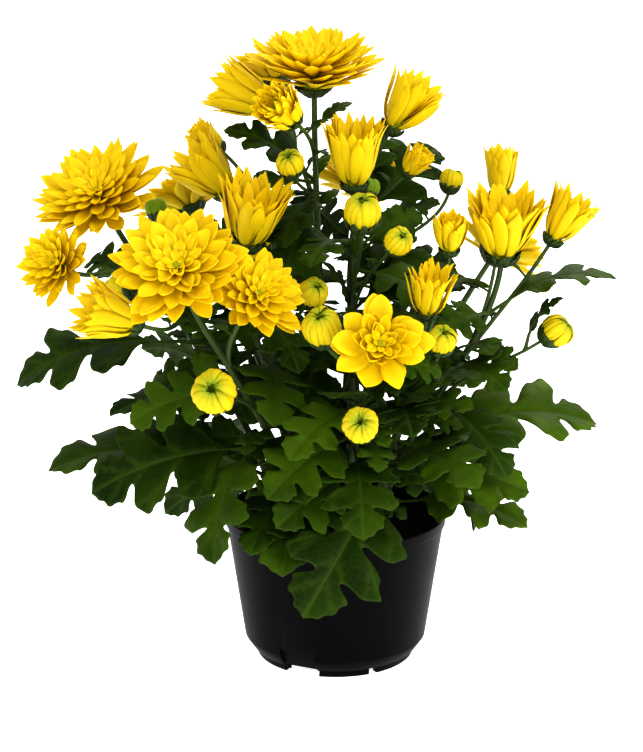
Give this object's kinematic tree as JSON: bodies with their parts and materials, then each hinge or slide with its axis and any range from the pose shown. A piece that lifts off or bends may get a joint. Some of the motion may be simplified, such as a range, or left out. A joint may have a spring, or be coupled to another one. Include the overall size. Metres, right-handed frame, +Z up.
{
  "type": "potted chrysanthemum",
  "caption": "Young pot chrysanthemum with yellow double flowers, buds and lobed leaves on branching stems, in a black nursery pot.",
  "frame": {"origin": "middle of the pot's base, on the surface that it stands on", "axes": "+Z up along the pot's axis, -Y towards the side that the plant is looked at from, +X to that viewer's right"},
  "size_m": [0.3407, 0.2764, 0.3587],
  "materials": {
    "pot_plastic": "satin black moulded plastic",
    "soil": "dark, rough potting soil",
    "foliage": "soft green leaves and stems, slightly glossy above",
    "petals": "matte, bright yellow petals"
  },
  "bodies": {
    "root": {"bloom_back": "petals", "bloom_back_crown": "petals", "bloom_back_left": "petals", "bloom_back_left_low": "petals", "bloom_back_right": "petals", "bloom_back_right_low": "petals", "bloom_crown": "petals", "bloom_far_left": "petals", "bloom_front": "petals", "bloom_front_left": "petals", "bloom_front_right": "petals", "bloom_left": "petals", "bloom_left_low": "petals", "bloom_left_side": "petals", "bloom_middle": "petals", "bloom_middle_left": "petals", "bloom_right": "petals", "bloom_right_back": "petals", "bloom_right_front": "petals", "bloom_right_outer": "petals", "bloom_small_top": "petals", "bloom_top_left": "petals", "bloom_top_right": "petals", "bloom_upper_left": "petals", "bud_back": "petals", "bud_back_left": "petals", "bud_front_left": "petals", "bud_front_low": "petals", "bud_front_right": "petals", "bud_left": "petals", "bud_middle_back": "petals", "bud_middle_front": "petals", "bud_middle_left": "petals", "bud_middle_right": "petals", "bud_opening_front": "petals", "bud_opening_right": "petals", "bud_right": "petals", "bud_tulip_right": "petals", "bud_under_crown": "petals", "bud_upper_right": "petals", "pot": "pot_plastic", "shoot_back": "foliage", "shoot_back_left": "foliage", "shoot_back_right": "foliage", "shoot_crown": "foliage", "shoot_front": "foliage", "shoot_front_left": "foliage", "shoot_front_right": "foliage", "shoot_left": "foliage", "shoot_middle": "foliage", "shoot_middle_left": "foliage", "shoot_right": "foliage", "shoot_upper_left": "foliage", "shoot_upper_right": "foliage", "soil": "soil"}
  },
  "joints": []
}
